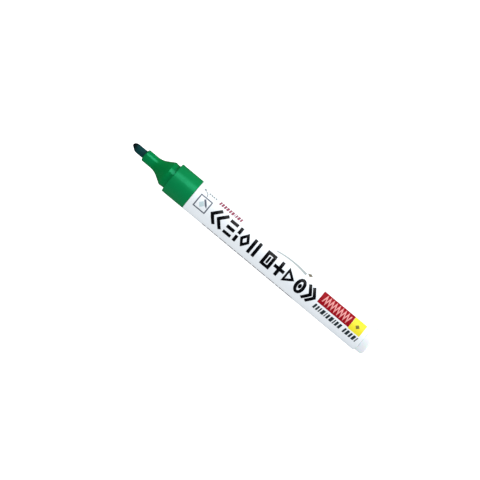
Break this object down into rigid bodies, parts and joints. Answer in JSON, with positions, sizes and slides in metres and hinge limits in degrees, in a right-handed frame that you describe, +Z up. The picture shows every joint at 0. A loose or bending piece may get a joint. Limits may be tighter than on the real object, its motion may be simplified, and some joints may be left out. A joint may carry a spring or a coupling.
{
  "type": "whiteboard marker",
  "caption": "Slim bullet-tip whiteboard marker with its cap off: printed white barrel, green nib holder, fibre nib that pulls out, and a rear plug that pulls out.",
  "frame": {"origin": "on the surface that the marker lies on, under the middle of its length", "axes": "+X along the marker's axis towards the writing tip, +Z up, +Y to its left"},
  "size_m": [0.132, 0.0146, 0.0146],
  "materials": {
    "barrel_white": "smooth moulded white, printed",
    "holder_green": "satin moulded green",
    "plug_white": "slightly translucent moulded white",
    "nib_fibre": "bonded fibre soaked with green ink",
    "reservoir_fibre": "fibre bundle soaked with green ink",
    "film_clear": "thin clear film"
  },
  "bodies": {
    "barrel": {"barrel": "barrel_white", "nib_holder": "holder_green", "ink_reservoir": "reservoir_fibre", "reservoir_film": "film_clear"},
    "nib": {"nib": "nib_fibre"},
    "end_plug": {"end_plug": "plug_white"}
  },
  "joints": [
    {"name": "nib_pull_out", "type": "slide", "parent": "barrel", "child": "nib", "axis": [1, 0, 0], "range_m": [0, 0.042]},
    {"name": "plug_pull_out", "type": "slide", "parent": "barrel", "child": "end_plug", "axis": [-1, 0, 0], "range_m": [0, 0.014]}
  ]
}
